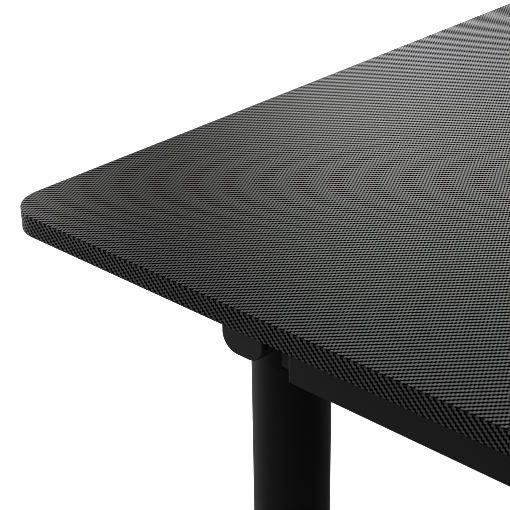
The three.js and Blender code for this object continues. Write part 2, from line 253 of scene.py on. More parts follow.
class Graph:
    """Short calls that add nodes to one node tree."""

    def __init__(self, tree):
        self.tree = tree

    def node(self, kind, **values):
        made = self.tree.nodes.new(kind)
        for key, value in values.items():
            setattr(made, key, value)
        return made

    def plug(self, socket, value):
        if isinstance(value, bpy.types.NodeSocket):
            self.tree.links.new(value, socket)
        else:
            socket.default_value = value

    def math(self, operation, *values, clamp=False):
        made = self.node("ShaderNodeMath", operation=operation, use_clamp=clamp)
        for socket, value in zip(made.inputs, values):
            self.plug(socket, value)
        return made.outputs[0]

    def vector(self, operation, *values):
        made = self.node("ShaderNodeVectorMath", operation=operation)
        for socket, value in zip(made.inputs, values):
            self.plug(socket, value)
        return made.outputs["Value"] if operation == "DOT_PRODUCT" else made.outputs[0]

    def blend(self, factor, first, second):
        """A number that goes from first to second."""
        made = self.node("ShaderNodeMix", data_type="FLOAT")
        self.plug(made.inputs[0], factor)
        self.plug(made.inputs[2], first)
        self.plug(made.inputs[3], second)
        return made.outputs[0]

    def tint(self, factor, first, second, how="MIX"):
        """A colour that goes from first to second. Its sockets are the Mix node's colour pair."""
        made = self.node("ShaderNodeMix", data_type="RGBA", blend_type=how)
        self.plug(made.inputs[0], factor)
        for socket, value in ((made.inputs[6], first), (made.inputs[7], second)):
            self.plug(socket, value if isinstance(value, bpy.types.NodeSocket) else (*value[:3], 1.0))
        return made.outputs[2]

    def noise(self, coordinates, scale, detail=2.0, roughness=0.5):
        made = self.node("ShaderNodeTexNoise")
        self.plug(made.inputs["Vector"], coordinates)
        made.inputs["Scale"].default_value = scale
        made.inputs["Detail"].default_value = detail
        made.inputs["Roughness"].default_value = roughness
        return made.outputs["Fac"]

    def bump(self, height, distance, strength=1.0):
        made = self.node("ShaderNodeBump")
        made.inputs["Strength"].default_value = strength
        made.inputs["Distance"].default_value = distance
        self.plug(made.inputs["Height"], height)
        return made.outputs["Normal"]

    def group(self, tree, **values):
        made = self.node("ShaderNodeGroup", node_tree=tree)
        for key, value in values.items():
            self.plug(made.inputs[key.replace("_", " ")], value)
        return made


def new_group(name, inputs, outputs):
    """A node group with float or vector sockets, and the graph that fills it."""
    tree = bpy.data.node_groups.new(name, "ShaderNodeTree")
    for socket, kind, default in inputs:
        made = tree.interface.new_socket(socket, in_out="INPUT", socket_type=kind)
        if default is not None:
            made.default_value = default
    for socket in outputs:
        tree.interface.new_socket(socket, in_out="OUTPUT", socket_type="NodeSocketFloat")
    graph = Graph(tree)
    return tree, graph, graph.node("NodeGroupInput").outputs, graph.node("NodeGroupOutput").inputs


def twill_group():
    """A twill: strips lie side by side along 'Across', each a cell further 'Along' than the last."""
    tree, g, given, out = new_group(
        "Twill weave",
        [
            ("Across", "NodeSocketFloat", 0.0), ("Along", "NodeSocketFloat", 0.0),
            ("Cell", "NodeSocketFloat", 2 * MM),
        ],
        ["Tow", "Height", "Fibre", "Shade"],
    )
    dark_run = WEAVE_REPEAT - LIGHT_RUN
    tow_end, dark_depth = 0.2, 0.85
    dark_fibres, light_fibres = 7.0, 6.0
    across = g.math("DIVIDE", given["Across"], given["Cell"])
    along = g.math("DIVIDE", given["Along"], given["Cell"])
    strip = g.math("FLOOR", across)
    side = g.math("SUBTRACT", across, strip)
    stepped = g.math("SUBTRACT", along, strip)
    run = g.math("FLOORED_MODULO", stepped, WEAVE_REPEAT)
    tow = g.math("LESS_THAN", run, LIGHT_RUN)
    light_place = g.math("DIVIDE", run, LIGHT_RUN)
    dark_place = g.math("DIVIDE", g.math("SUBTRACT", run, LIGHT_RUN), dark_run)

    def crown(place):
        centred = g.math("SUBTRACT", g.math("MULTIPLY", place, 2.0), 1.0)
        return g.math("SUBTRACT", 1.0, g.math("MULTIPLY", centred, centred))

    ends = g.math("POWER", crown(light_place), tow_end)
    light_crown = g.math("MULTIPLY", g.math("SQRT", crown(side)), ends)
    hollow = g.math("SQRT", g.math("MAXIMUM", crown(dark_place), 0.0))
    dark_crown = g.math("MULTIPLY", hollow, dark_depth)
    height = g.blend(tow, dark_crown, light_crown)

    def fibres(place, count):
        wave = g.math("SINE", g.math("MULTIPLY", place, 2.0 * math.pi * count))
        return g.math("ADD", g.math("MULTIPLY", wave, 0.5), 0.5)

    fibre = g.blend(tow, fibres(dark_place, dark_fibres), fibres(side, light_fibres))
    block = g.math("FLOOR", g.math("DIVIDE", stepped, WEAVE_REPEAT))
    spot = g.node("ShaderNodeCombineXYZ")
    g.plug(spot.inputs[0], strip)
    g.plug(spot.inputs[1], block)
    random = g.node("ShaderNodeTexWhiteNoise", noise_dimensions="2D")
    g.plug(random.inputs["Vector"], spot.outputs[0])
    shade = random.outputs["Value"]
    for name, value in (("Tow", tow), ("Height", height), ("Fibre", fibre), ("Shade", shade)):
        g.plug(out[name], value)
    return tree


def grain_group():
    """Fine grain of powder coat or moulded plastic: pits, and slow unevenness."""
    tree, g, given, out = new_group(
        "Surface grain",
        [("Vector", "NodeSocketVector", None), ("Scale", "NodeSocketFloat", 1500.0)],
        ["Grain", "Cloud", "Speck"],
    )
    cell_scale, speck_size = 0.35, 0.12
    fine = g.vector("SCALE", given["Vector"])
    g.plug(fine.node.inputs["Scale"], given["Scale"])
    grain = g.noise(fine, scale=1.0, detail=3.0, roughness=0.6)
    cloud = g.noise(given["Vector"], scale=14.0, detail=3.0, roughness=0.55)
    cells = g.node("ShaderNodeTexVoronoi", feature="F1")
    g.plug(cells.inputs["Vector"], fine)
    cells.inputs["Scale"].default_value = cell_scale
    speck = g.math("LESS_THAN", cells.outputs["Distance"], speck_size)
    for name, value in (("Grain", grain), ("Cloud", cloud), ("Speck", speck)):
        g.plug(out[name], value)
    return tree


def start_material(name):
    """A material with one Principled shader, its graph, and the object's own coordinates."""
    material = bpy.data.materials.new(name)
    material.use_nodes = True
    g = Graph(material.node_tree)
    shader = material.node_tree.nodes["Principled BSDF"]
    place = g.node("ShaderNodeTexCoord").outputs["Object"]
    return material, g, shader, place


def weave_material(name, on_edging):
    """Laminate or edging. The edging follows its own map, the laminate the desk's axes."""
    weave = bpy.context.scene.desk_weave
    shade_share, fibre_share, crown_shade_share, cloud_share = 0.16, 0.12, 0.5, 0.12
    base_level = 0.42
    gloss_spread, dark_roughness = 0.06, 0.85
    fibre_relief, bump_strength = 0.10, 0.25
    material, g, shader, place = start_material(name)
    parts = g.node("ShaderNodeSeparateXYZ")
    if on_edging:
        g.plug(parts.inputs[0], g.node("ShaderNodeUVMap", uv_map="edging").outputs[0])
        across, along = parts.outputs["Y"], g.math("MULTIPLY", parts.outputs["X"], -1.0)
        # The edging's darker tint paints shade on its upright faces.
        offsets, light = EDGING_PHASE, weave.shaded_edging_light
    else:
        g.plug(parts.inputs[0], place)
        across, along = parts.outputs["X"], parts.outputs["Y"]
        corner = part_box("main_edge_band")[0]
        offsets = [phase - start / weave.cell for phase, start in zip(LAMINATE_PHASE, corner)]
        light = weave.light
    across = g.math("ADD", across, offsets[0] * weave.cell)
    along = g.math("ADD", along, offsets[1] * weave.cell)
    tree = bpy.data.node_groups["Twill weave"]
    twill = g.group(tree, Across=across, Along=along, Cell=weave.cell).outputs
    cloud = g.noise(place, scale=5.0, detail=3.0, roughness=0.6)
    shade = g.math("MULTIPLY", twill["Shade"], shade_share)
    shaded = g.math("ADD", shade, g.math("MULTIPLY", twill["Fibre"], fibre_share))
    # Light tows are painted darker towards their rims: painted shade of the rounded tows, on top of
    # their bump.
    rounded = g.math("ADD", g.math("MULTIPLY", twill["Height"], crown_shade_share), base_level)
    level = g.math("ADD", g.math("ADD", shaded, rounded), g.math("MULTIPLY", cloud, cloud_share))
    bright = g.node("ShaderNodeCombineXYZ")
    for index in range(3):
        g.plug(bright.inputs[index], g.math("MULTIPLY", level, light[index]))
    g.plug(shader.inputs["Base Color"], g.tint(twill["Tow"], weave.dark, bright.outputs[0]))
    g.plug(shader.inputs["Metallic"], twill["Tow"])
    soft = g.math("ADD", weave.gloss - gloss_spread / 2, g.math("MULTIPLY", cloud, gloss_spread))
    g.plug(shader.inputs["Roughness"], g.blend(twill["Tow"], dark_roughness, soft))
    relief = g.math("ADD", twill["Height"], g.math("MULTIPLY", twill["Fibre"], fibre_relief))
    g.plug(shader.inputs["Normal"], g.bump(relief, weave.relief, bump_strength))
    shader.inputs["Specular IOR Level"].default_value = 0.0
    return material


def scaled(tint, factor):
    return [min(1.0, value * factor) for value in tint]


def grained_material(name, tint, roughness, gloss, grain_scale, grain_height):
    """Powder coat, casting or moulded plastic in one colour, with grain in bump and roughness."""
    speck_share, speck_lift = 0.25, 0.0008
    roughness_spread, bump_strength = 0.12, 0.35
    material, g, shader, place = start_material(name)
    tree = bpy.data.node_groups["Surface grain"]
    grain = g.group(tree, Vector=place, Scale=grain_scale).outputs
    lighter = [min(1.0, value * 1.7 + speck_lift) for value in tint]
    cloudy = g.tint(grain["Cloud"], scaled(tint, 0.8), scaled(tint, 1.2))
    speckled = g.tint(g.math("MULTIPLY", grain["Speck"], speck_share), cloudy, lighter)
    g.plug(shader.inputs["Base Color"], speckled)
    unevenness = g.math("MULTIPLY", grain["Grain"], roughness_spread)
    uneven = g.math("ADD", roughness - roughness_spread / 2, unevenness)
    g.plug(shader.inputs["Roughness"], uneven)
    g.plug(shader.inputs["Normal"], g.bump(grain["Grain"], grain_height, bump_strength))
    shader.inputs["Specular IOR Level"].default_value = gloss
    return material


def backing_material(name, tint):
    """Dark melamine on the underside, with the chips of the board showing faintly through."""
    chip_share, cloud_share, base_roughness, roughness_spread = 0.35, 0.4, 0.48, 0.16
    material, g, shader, place = start_material(name)
    chips = g.node("ShaderNodeTexVoronoi", feature="F1")
    g.plug(chips.inputs["Vector"], place)
    chips.inputs["Scale"].default_value = 260.0
    parts = g.node("ShaderNodeSeparateXYZ")
    g.plug(parts.inputs[0], chips.outputs["Color"])
    cloud = g.noise(place, scale=9.0, detail=4.0, roughness=0.6)
    chipped = g.math("MULTIPLY", parts.outputs["X"], chip_share)
    level = g.math("ADD", chipped, g.math("MULTIPLY", cloud, cloud_share))
    g.plug(shader.inputs["Base Color"], g.tint(level, scaled(tint, 0.75), scaled(tint, 1.5)))
    uneven = g.math("ADD", base_roughness, g.math("MULTIPLY", cloud, roughness_spread))
    g.plug(shader.inputs["Roughness"], uneven)
    pits = g.noise(place, scale=1800.0, detail=2.0)
    g.plug(shader.inputs["Normal"], g.bump(pits, distance=0.03 * MM, strength=0.4))
    shader.inputs["Specular IOR Level"].default_value = 0.3
    return material


def plated_material(name, tint, roughness, brushing):
    """Zinc or black oxide on steel, with fine lines from rolling and a mottled bloom."""
    stretch, roughness_spread = 22.0, 0.2
    material, g, shader, place = start_material(name)
    stretched = g.node("ShaderNodeMapping")
    g.plug(stretched.inputs["Vector"], place)
    stretched.inputs["Scale"].default_value = (1.0, stretch, stretch)
    lines = g.noise(stretched.outputs[0], brushing, detail=3.0, roughness=0.65)
    bloom = g.noise(place, scale=60.0, detail=4.0, roughness=0.6)
    mixed = g.math("ADD", g.math("MULTIPLY", lines, 0.5), g.math("MULTIPLY", bloom, 0.5))
    g.plug(shader.inputs["Base Color"], g.tint(mixed, scaled(tint, 0.72), scaled(tint, 1.2)))
    unevenness = g.math("MULTIPLY", mixed, roughness_spread)
    g.plug(shader.inputs["Roughness"], g.math("ADD", roughness - 0.08, unevenness))
    g.plug(shader.inputs["Normal"], g.bump(lines, distance=0.02 * MM, strength=0.3))
    shader.inputs["Metallic"].default_value = 1.0
    return material


def make_materials():
    metal = bpy.context.scene.desk_metal
    twill_group()
    grain_group()
    weave_material("laminate weave", False)
    weave_material("edging weave", True)
    for name, tint, roughness, gloss, grain_scale, grain_height in (
        ("powder coat", metal.steel, 0.42, 0.16, 2600.0, 0.03 * MM),
        # The neck coat is duller than the powder coat so that it paints the shade under the arms.
        ("neck shade coat", metal.neck, 0.6, 0.12, 2600.0, 0.03 * MM),
        ("rail coat", metal.rail, 0.46, 0.16, 2600.0, 0.03 * MM),
        ("casting", metal.rail, 0.5, 0.19, 1300.0, 0.06 * MM),
        ("moulded black", metal.plastic, 0.5, 0.2, 3200.0, 0.02 * MM),
    ):
        grained_material(name, tint, roughness, gloss, grain_scale, grain_height)
    backing_material("board backing", metal.backing)
    plated_material("zinc plate", metal.zinc, roughness=0.36, brushing=300.0)
    plated_material("screw finish", metal.oxide, roughness=0.42, brushing=900.0)


# ---- mesh helpers ---------------------------------------------------------------------------


def of_kind(geometry, kind):
    """The faces, edges or verts in what an operator hands back."""
    return [item for item in geometry if isinstance(item, kind)]


def finish_piece(name, bm, material, slot, replaces=(), body=FRAME_BODY, sharp=32.0):
    """Turns a bmesh into a piece of the desk that rides on a body. Edges past sharp degrees stay."""
    bmesh.ops.recalc_face_normals(bm, faces=bm.faces)
    limit = math.radians(sharp)
    for face in bm.faces:
        face.smooth = True
    for edge in bm.edges:
        edge.smooth = len(edge.link_faces) == 2 and edge.calc_face_angle(0.0) < limit
    mesh = bpy.data.meshes.new(name)
    bm.to_mesh(mesh)
    bm.free()
    mesh.materials.append(bpy.data.materials[material])
    piece = bpy.data.objects.new(name, mesh)
    bpy.context.scene.collection.objects.link(piece)
    piece.modifiers.new("even shading", "WEIGHTED_NORMAL").keep_sharp = True
    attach(piece, body)
    if replaces:
        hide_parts(*replaces)
    return piece


def round_corners(bm, verts, radius, segments):
    """Rounds the corners of a flat outline."""
    bmesh.ops.bevel(
        bm, geom=verts, offset=radius, offset_type="OFFSET", affect="VERTICES", segments=segments,
        profile=0.5, material=-1, clamp_overlap=False
    )


def soften_edges(bm, edges, radius, segments=2):
    """Rounds the given edges of a solid."""
    bmesh.ops.bevel(
        bm, geom=edges, offset=radius, offset_type="OFFSET", affect="EDGES", segments=segments,
        profile=0.5, material=-1, clamp_overlap=True
    )


def raise_face(bm, face, vector):
    """Extrudes a face into a solid and returns the far face."""
    made = bmesh.ops.extrude_face_region(bm, geom=[face])["geom"]
    bmesh.ops.translate(bm, verts=of_kind(made, bmesh.types.BMVert), vec=vector)
    return of_kind(made, bmesh.types.BMFace)[0]


def turned(bm, profile, centre, steps=64, closed=False):
    """Turns a profile of (radius, z) about a vertical line. A closed profile makes a ring."""
    verts = [bm.verts.new((centre.x + radius, centre.y, z)) for radius, z in profile]
    ends = verts[1:] + verts[:1] if closed else verts[1:]
    edges = [bm.edges.new(pair) for pair in zip(verts, ends)]
    bmesh.ops.spin(
        bm, geom=verts + edges, cent=centre, axis=(0, 0, 1), angle=2 * math.pi, steps=steps,
        use_merge=True
    )
    bmesh.ops.remove_doubles(bm, verts=bm.verts, dist=MERGE_DISTANCE)


def arc(centre_radius, centre_z, radius, first, last, steps=5):
    """Points of an arc in a turned profile, between two angles in degrees."""
    for step in range(steps + 1):
        turn = math.radians(first + (last - first) * step / steps)
        yield centre_radius + radius * math.cos(turn), centre_z + radius * math.sin(turn)


def cad_copy(node):
    """A merged copy of a CAD node's mesh, with its flat faces made whole."""
    bm = bmesh.new()
    bm.from_mesh(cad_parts[node].data)
    bmesh.ops.remove_doubles(bm, verts=bm.verts, dist=MERGE_DISTANCE)
    bmesh.ops.dissolve_limit(bm, angle_limit=math.radians(0.5), verts=bm.verts, edges=bm.edges)
    return bm


def sharp_edges(bm, degrees):
    """Edges where two faces meet at more than an angle."""
    limit = math.radians(degrees)
    return [e for e in bm.edges if len(e.link_faces) == 2 and e.calc_face_angle(0.0) > limit]


def softened_copy(name, node, material, slot, radius):
    """A CAD node again, with its sharp edges rounded."""
    bm = cad_copy(node)
    soften_edges(bm, sharp_edges(bm, CAST_EDGE), radius)
    return finish_piece(name, bm, material, slot, [node])


def node_middle(node):
    low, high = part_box(node)
    return (low + high) / 2


def combined(first, second, operation):
    """The first shape joined with the second, or cut by it, as a new bmesh."""
    pair = []
    for shape in (first, second):
        bmesh.ops.recalc_face_normals(shape, faces=shape.faces)
        mesh = bpy.data.meshes.new("shape")
        shape.to_mesh(mesh)
        shape.free()
        pair.append(bpy.data.objects.new("shape", mesh))
        bpy.context.scene.collection.objects.link(pair[-1])
    modifier = pair[0].modifiers.new("combine", "BOOLEAN")
    modifier.operation = operation
    modifier.solver = "EXACT"
    modifier.object = pair[1]
    evaluated = pair[0].evaluated_get(bpy.context.evaluated_depsgraph_get())
    result = bmesh.new()
    result.from_mesh(evaluated.to_mesh())
    evaluated.to_mesh_clear()
    for item in pair:
        mesh = item.data
        bpy.data.objects.remove(item)
        bpy.data.meshes.remove(mesh)
    bmesh.ops.remove_doubles(result, verts=result.verts, dist=MERGE_DISTANCE)
    return result


def outline_face(bm, corners):
    """A flat face through (point, radius, segments) corners, rounded where there is a radius."""
    verts = [bm.verts.new(point) for point, radius, segments in corners]
    bm.faces.new(verts)
    for vert, (point, radius, segments) in zip(verts, corners):
        if radius:
            round_corners(bm, [vert], radius, segments)
    bm.faces.ensure_lookup_table()
    return bm.faces[0]


def hollow_bar(bm, corners, vector, wall):
    """An outline drawn out along a vector into a tube with an even wall."""
    near = outline_face(bm, corners)
    far = raise_face(bm, near, vector)
    for end in (near, far):
        bmesh.ops.inset_region(
            bm, faces=[end], thickness=wall, use_even_offset=True, use_boundary=True
        )
    loops = list(near.edges) + list(far.edges)
    bmesh.ops.delete(bm, geom=[near, far], context="FACES_ONLY")
    bmesh.ops.bridge_loops(bm, edges=loops)


def edge_chain(bm, corners, radius, segments=CORNER_SEGMENTS):
    """An open chain of edges between the first and the last corner, rounded at those between."""
    end = bm.verts.new(corners[0])
    for before, corner, after in zip(corners, corners[1:], corners[2:]):
        back = (before - corner).normalized()
        onward = (after - corner).normalized()
        end = bmesh.ops.extrude_vert_indiv(bm, verts=[end])["verts"][0]
        end.co = corner + back * radius
        quarter = math.copysign(math.pi / 2, -back.cross(onward).z)
        centre = corner + (back + onward) * radius
        made = bmesh.ops.spin(
            bm, geom=[end], cent=centre, axis=(0, 0, 1), angle=quarter, steps=segments
        )
        end = of_kind(made["geom_last"], bmesh.types.BMVert)[0]
    end = bmesh.ops.extrude_vert_indiv(bm, verts=[end])["verts"][0]
    end.co = corners[-1]


def way_along(chain, start, place):
    """How far along a chain of points a place lies, counted down from start."""
    best, way, found = math.inf, start, start
    for first, second in zip(chain, chain[1:]):
        step = second - first
        share = min(1.0, max(0.0, (place - first).dot(step) / step.length_squared))
        distance = (first + step * share - place).length_squared
        if distance < best:
            best = distance
            found = way - share * step.length
        way -= step.length
    return found


# ---- the desk's pieces ----------------------------------------------------------------------


def board_corners(board):
    """Corners of a board's free edge, from one end of the seam to the other, at its underside."""
    low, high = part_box(f"{board}_edge_band")
    if board == "main":
        return [Vector(p) for p in (
            (high.x, low.y, UNDERSIDE), (low.x, low.y, UNDERSIDE),
            (low.x, high.y, UNDERSIDE), (high.x, high.y, UNDERSIDE),
        )]
    inner_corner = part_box("main_edge_band")[0].y
    return [Vector(p) for p in (
        (low.x, inner_corner - HAIRLINE, UNDERSIDE), (low.x, low.y, UNDERSIDE),
        (high.x, low.y, UNDERSIDE), (high.x, high.y, UNDERSIDE), (low.x + SEAM_GAP, high.y, UNDERSIDE),
    )]


def make_laminate(board):
    """The woven sheet on top of a board, out to the board's edge."""
    weave = bpy.context.scene.desk_weave
    lift = Vector((0.0, 0.0, TOP - SHEET - UNDERSIDE))
    places = board_corners(board)
    rounded = [0.0] + [weave.corner] * (len(places) - 2) + [0.0]
    if board == "return":
        places.append(Vector((places[-1].x, places[0].y, UNDERSIDE)))
        rounded.append(0.0)
    bm = bmesh.new()
    face = outline_face(bm, [
        (place + lift, radius, CORNER_SEGMENTS) for place, radius in zip(places, rounded)
    ])
    top = raise_face(bm, face, (0.0, 0.0, SHEET))
    soften_edges(bm, list(top.edges), weave.lip, 2)
    name, node = f"{board}_laminate_sheet", f"{board}_laminate"
    finish_piece(name, bm, "laminate weave", "weave_laminate", [node])


def make_edging(board):
    """The woven strip round a board, under the laminate's rim."""
    weave = bpy.context.scene.desk_weave
    bm = bmesh.new()
    edge_chain(bm, board_corners(board), weave.corner)
    chain = [vert.co.copy() for vert in bm.verts]
    start = chain[0].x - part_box("main_edge_band")[0].x
    raised = bmesh.ops.extrude_edge_only(bm, edges=bm.edges[:])["geom"]
    under_sheet = HAIRLINE / 10
    height = TOP - SHEET - under_sheet - UNDERSIDE
    bmesh.ops.translate(bm, verts=of_kind(raised, bmesh.types.BMVert), vec=(0.0, 0.0, height))
    turning = (chain[-1] - chain[0]).cross(chain[len(chain) // 2] - chain[0]).z
    bmesh.ops.solidify(bm, geom=bm.faces[:], thickness=math.copysign(weave.band, turning))
    corners = sharp_edges(bm, SQUARE_EDGE)
    lower = [e for e in corners if all(abs(v.co.z - UNDERSIDE) < weave.lip for v in e.verts)]
    soften_edges(bm, lower, weave.lip, 2)
    layer = bm.loops.layers.uv.new("edging")
    ways = {
        vert: way_along(chain, start, Vector((vert.co.x, vert.co.y, UNDERSIDE))) for vert in bm.verts
    }
    for face in bm.faces:
        for loop in face.loops:
            loop[layer].uv = (ways[loop.vert], loop.vert.co.z - TOP)
    name, node = f"{board}_edging_strip", f"{board}_edge_band"
    finish_piece(name, bm, "edging weave", "weave_edging", [node])


def arm_corners(arm, y, grow=0.0):
    """An arm's section at y, grown outward on every side."""
    metal = bpy.context.scene.desk_metal
    middle = node_middle(f"{arm}_arm_front_cap").x
    low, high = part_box(f"{arm}_arm_front_cap")
    half = (high.x - low.x) / 2 + grow
    bottom, top = low.z - grow, high.z + grow
    lower = (metal.arm_lower + grow, 14)
    upper = (metal.arm_upper + grow, 8)
    return [
        (Vector((middle - half, y, bottom)), *lower),
        (Vector((middle + half, y, bottom)), *lower),
        (Vector((middle + half, y, top)), *upper),
        (Vector((middle - half, y, top)), *upper),
    ]


def rail_lines():
    """Where the outer face of each rail's web stands, from front to back."""
    for rail in RAILS:
        low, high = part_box(rail)
        yield rail, (high.y if "rear" in rail else low.y)


def ear_places(arm):
    """Even steps in each bay between the rails that meet an arm."""
    stations = sorted({round(y, 5) for rail, y in rail_lines() if rail_touches(rail, arm)})
    for first, second in zip(stations, stations[1:]):
        steps = max(2, round((second - first) / EAR_PITCH))
        for step in range(1, steps):
            yield first + (second - first) * step / steps


def rail_touches(rail, arm):
    """Whether a rail ends at an arm."""
    middle = node_middle(f"{arm}_arm_front_cap").x
    low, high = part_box(rail)
    return min(abs(low.x - middle), abs(high.x - middle)) < ARM_WIDTH / 2 + RAIL_REACH


def make_arm(arm):
    """A rounded steel section with flat ears for the screws into the board."""
    low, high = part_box(f"{arm}_arm")
    middle = node_middle(f"{arm}_arm_front_cap").x
    bm = bmesh.new()
    hollow_bar(bm, arm_corners(arm, low.y), (0.0, high.y - low.y, 0.0), TUBE_WALL)
    ears = bmesh.new()
    reach = (high.x - low.x) / 2
    for y in ear_places(arm):
        places = [
            Vector((middle + sx * reach, y + sy * EAR_LENGTH / 2, FRAME_TOP - EAR_THICKNESS))
            for sx, sy in ((-1, -1), (1, -1), (1, 1), (-1, 1))
        ]
        ear = bmesh.new()
        lower_face = outline_face(ear, [(place, EAR_CORNER, 6) for place in places])
        raise_face(ear, lower_face, (0, 0, EAR_THICKNESS))
        mesh = bpy.data.meshes.new("ear")
        ear.to_mesh(mesh)
        ear.free()
        ears.from_mesh(mesh)
        bpy.data.meshes.remove(mesh)
    shape = combined(bm, ears, "UNION")
    finish_piece(f"{arm}_arm_section", shape, "powder coat", "black_steel", [f"{arm}_arm"])


def make_cap(arm, end):
    """A moulded cap with a rounded face and a plug that goes into the arm."""
    metal = bpy.context.scene.desk_metal
    low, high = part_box(f"{arm}_arm_{end}_cap")
    inward = 1 if end == "front" else -1
    face_y = low.y if end == "front" else high.y
    bm = bmesh.new()
    outside = outline_face(bm, arm_corners(arm, face_y))
    inside = raise_face(bm, outside, (0.0, inward * CAP_FLANGE, 0.0))
    rim = list(outside.edges)
    bmesh.ops.inset_region(
        bm, faces=[inside], thickness=TUBE_WALL + HAIRLINE, use_even_offset=True
    )
    raise_face(bm, inside, (0.0, inward * (high.y - low.y - CAP_FLANGE), 0.0))
    soften_edges(bm, rim, metal.cap_round, 4)
    node = f"{arm}_arm_{end}_cap"
    finish_piece(f"{arm}_{end}_end_cap", bm, "moulded black", "black_plastic", [node])


def make_leg(leg):
    """A round tube, its top edge rolled in a little and its lower edge broken."""
    metal = bpy.context.scene.desk_metal
    low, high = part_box(f"{leg}_leg")
    radius = (high.x - low.x) / 2
    bore = radius - LEG_WALL
    roll = min(metal.leg_roll, LEG_WALL)
    bm = bmesh.new()
    turned(bm, [
        (bore, low.z), (radius - LEG_CHAMFER, low.z), (radius, low.z + LEG_CHAMFER),
        *arc(radius - roll, high.z - roll, roll, 0, 90, 6), (bore, high.z),
    ], node_middle(f"{leg}_leg"), LEG_STEPS, closed=True)
    finish_piece(f"{leg}_tube", bm, "powder coat", "black_steel", [f"{leg}_leg"])


def make_saddle(leg):
    """The neck that stands out of a leg and cradles the arm, with a shoulder flush with the leg."""
    low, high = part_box(f"{leg}_saddle")
    centre = node_middle(f"{leg}_saddle")
    radius = (high.y - low.y) / 2
    leg_low, leg_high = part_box(f"{leg}_leg")
    flush = (leg_high.x - leg_low.x) / 2 - SHOULDER_INSET
    shoulder = leg_high.z + HAIRLINE / 3
    bm = bmesh.new()
    turned(bm, [
        (SADDLE_BORE / 2, low.z), (radius - NECK_FOOT_CHAMFER, low.z),
        (radius, low.z + NECK_FOOT_CHAMFER), (radius, shoulder), (flush, shoulder),
        (flush, high.z - NECK_TOP_CHAMFER), (flush - NECK_TOP_CHAMFER, high.z),
        (SADDLE_BORE / 2, high.z),
    ], centre, NECK_STEPS, closed=True)
    reach = 2 * flush
    notch = bmesh.new()
    front = outline_face(notch, arm_corners(leg.split("_")[0], centre.y - reach, HAIRLINE))
    raise_face(notch, front, (0.0, 2 * reach, 0.0))
    shape = combined(bm, notch, "DIFFERENCE")
    # Its duller coat paints the shade that falls under the arm.
    finish_piece(f"{leg}_neck", shape, "neck shade coat", "black_steel", [f"{leg}_saddle"])


def make_insert(leg):
    """The plug in the foot of a leg, with a rounded collar and a pocket for the lock nut."""
    low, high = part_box(f"{leg}_insert")
    centre = node_middle(f"{leg}_insert")
    radius = (high.x - low.x) / 2
    plug = radius - LEG_WALL - HAIRLINE
    collar = low.z + COLLAR
    bm = bmesh.new()
    pocket = NUT_POCKET / 2
    bore = STUD / 2 + HAIRLINE
    nut_top = low.z + NUT_RISE
    turned(bm, [
        (pocket, low.z), (radius - COLLAR_ROUND, low.z),
        *arc(radius - COLLAR_ROUND, low.z + COLLAR_ROUND, COLLAR_ROUND, -90, 0),
        (radius, collar - COLLAR_CHAMFER), (radius - COLLAR_CHAMFER, collar), (plug, collar),
        (plug, high.z - PLUG_CHAMFER), (plug - PLUG_CHAMFER, high.z), (bore, high.z),
        (bore, nut_top), (pocket, nut_top),
    ], centre, INSERT_STEPS, closed=True)
    finish_piece(f"{leg}_leg_insert", bm, "moulded black", "black_plastic", [f"{leg}_insert"])


def make_foot(leg):
    """A levelling foot: a domed pad, a hexagon nut and a threaded stud."""
    low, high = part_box(f"{leg}_foot")
    centre = node_middle(f"{leg}_foot")
    pad = (high.x - low.x) / 2
    crest = STUD / 2
    root = crest - THREAD_DEPTH
    pad_top = low.z + PAD_HEIGHT
    nut_top = pad_top + NUT_HEIGHT
    nut_seat = NUT / 2 + 1.0 * MM
    threads = []
    z = nut_top + THREAD_PITCH / 2
    while z < high.z - THREAD_PITCH:
        threads += [(root, z), (crest, z + THREAD_PITCH / 2)]
        z += THREAD_PITCH
    bm = bmesh.new()
    turned(bm, [
        (0.0, low.z), (pad - PAD_SOLE_ROUND - 0.5 * MM, low.z),
        *arc(pad - PAD_SOLE_ROUND, low.z + PAD_SOLE_ROUND, PAD_SOLE_ROUND, -80, 0, 4),
        *arc(pad - PAD_DOME, pad_top - PAD_DOME, PAD_DOME, 0, 80, 6),
        (nut_seat + 0.5 * MM, pad_top), (nut_seat, pad_top - PAD_STEP),
        (root, pad_top - PAD_STEP), (root, nut_top), *threads,
        (root, high.z - STUD_END), (root - STUD_CHAMFER, high.z), (0.0, high.z),
    ], centre, FOOT_STEPS)
    nut = bmesh.new()
    bmesh.ops.create_cone(
        nut, segments=6, radius1=NUT / 2, radius2=NUT / 2, depth=NUT_HEIGHT, cap_ends=True,
        matrix=Matrix.Translation((centre.x, centre.y, pad_top - HAIRLINE + NUT_HEIGHT / 2))
    )
    soften_edges(nut, nut.edges[:], NUT_ROUND, 2)
    node = f"{leg}_foot"
    shape = combined(bm, nut, "UNION")
    finish_piece(f"{leg}_levelling_foot", shape, "moulded black", "black_plastic", [node], node)


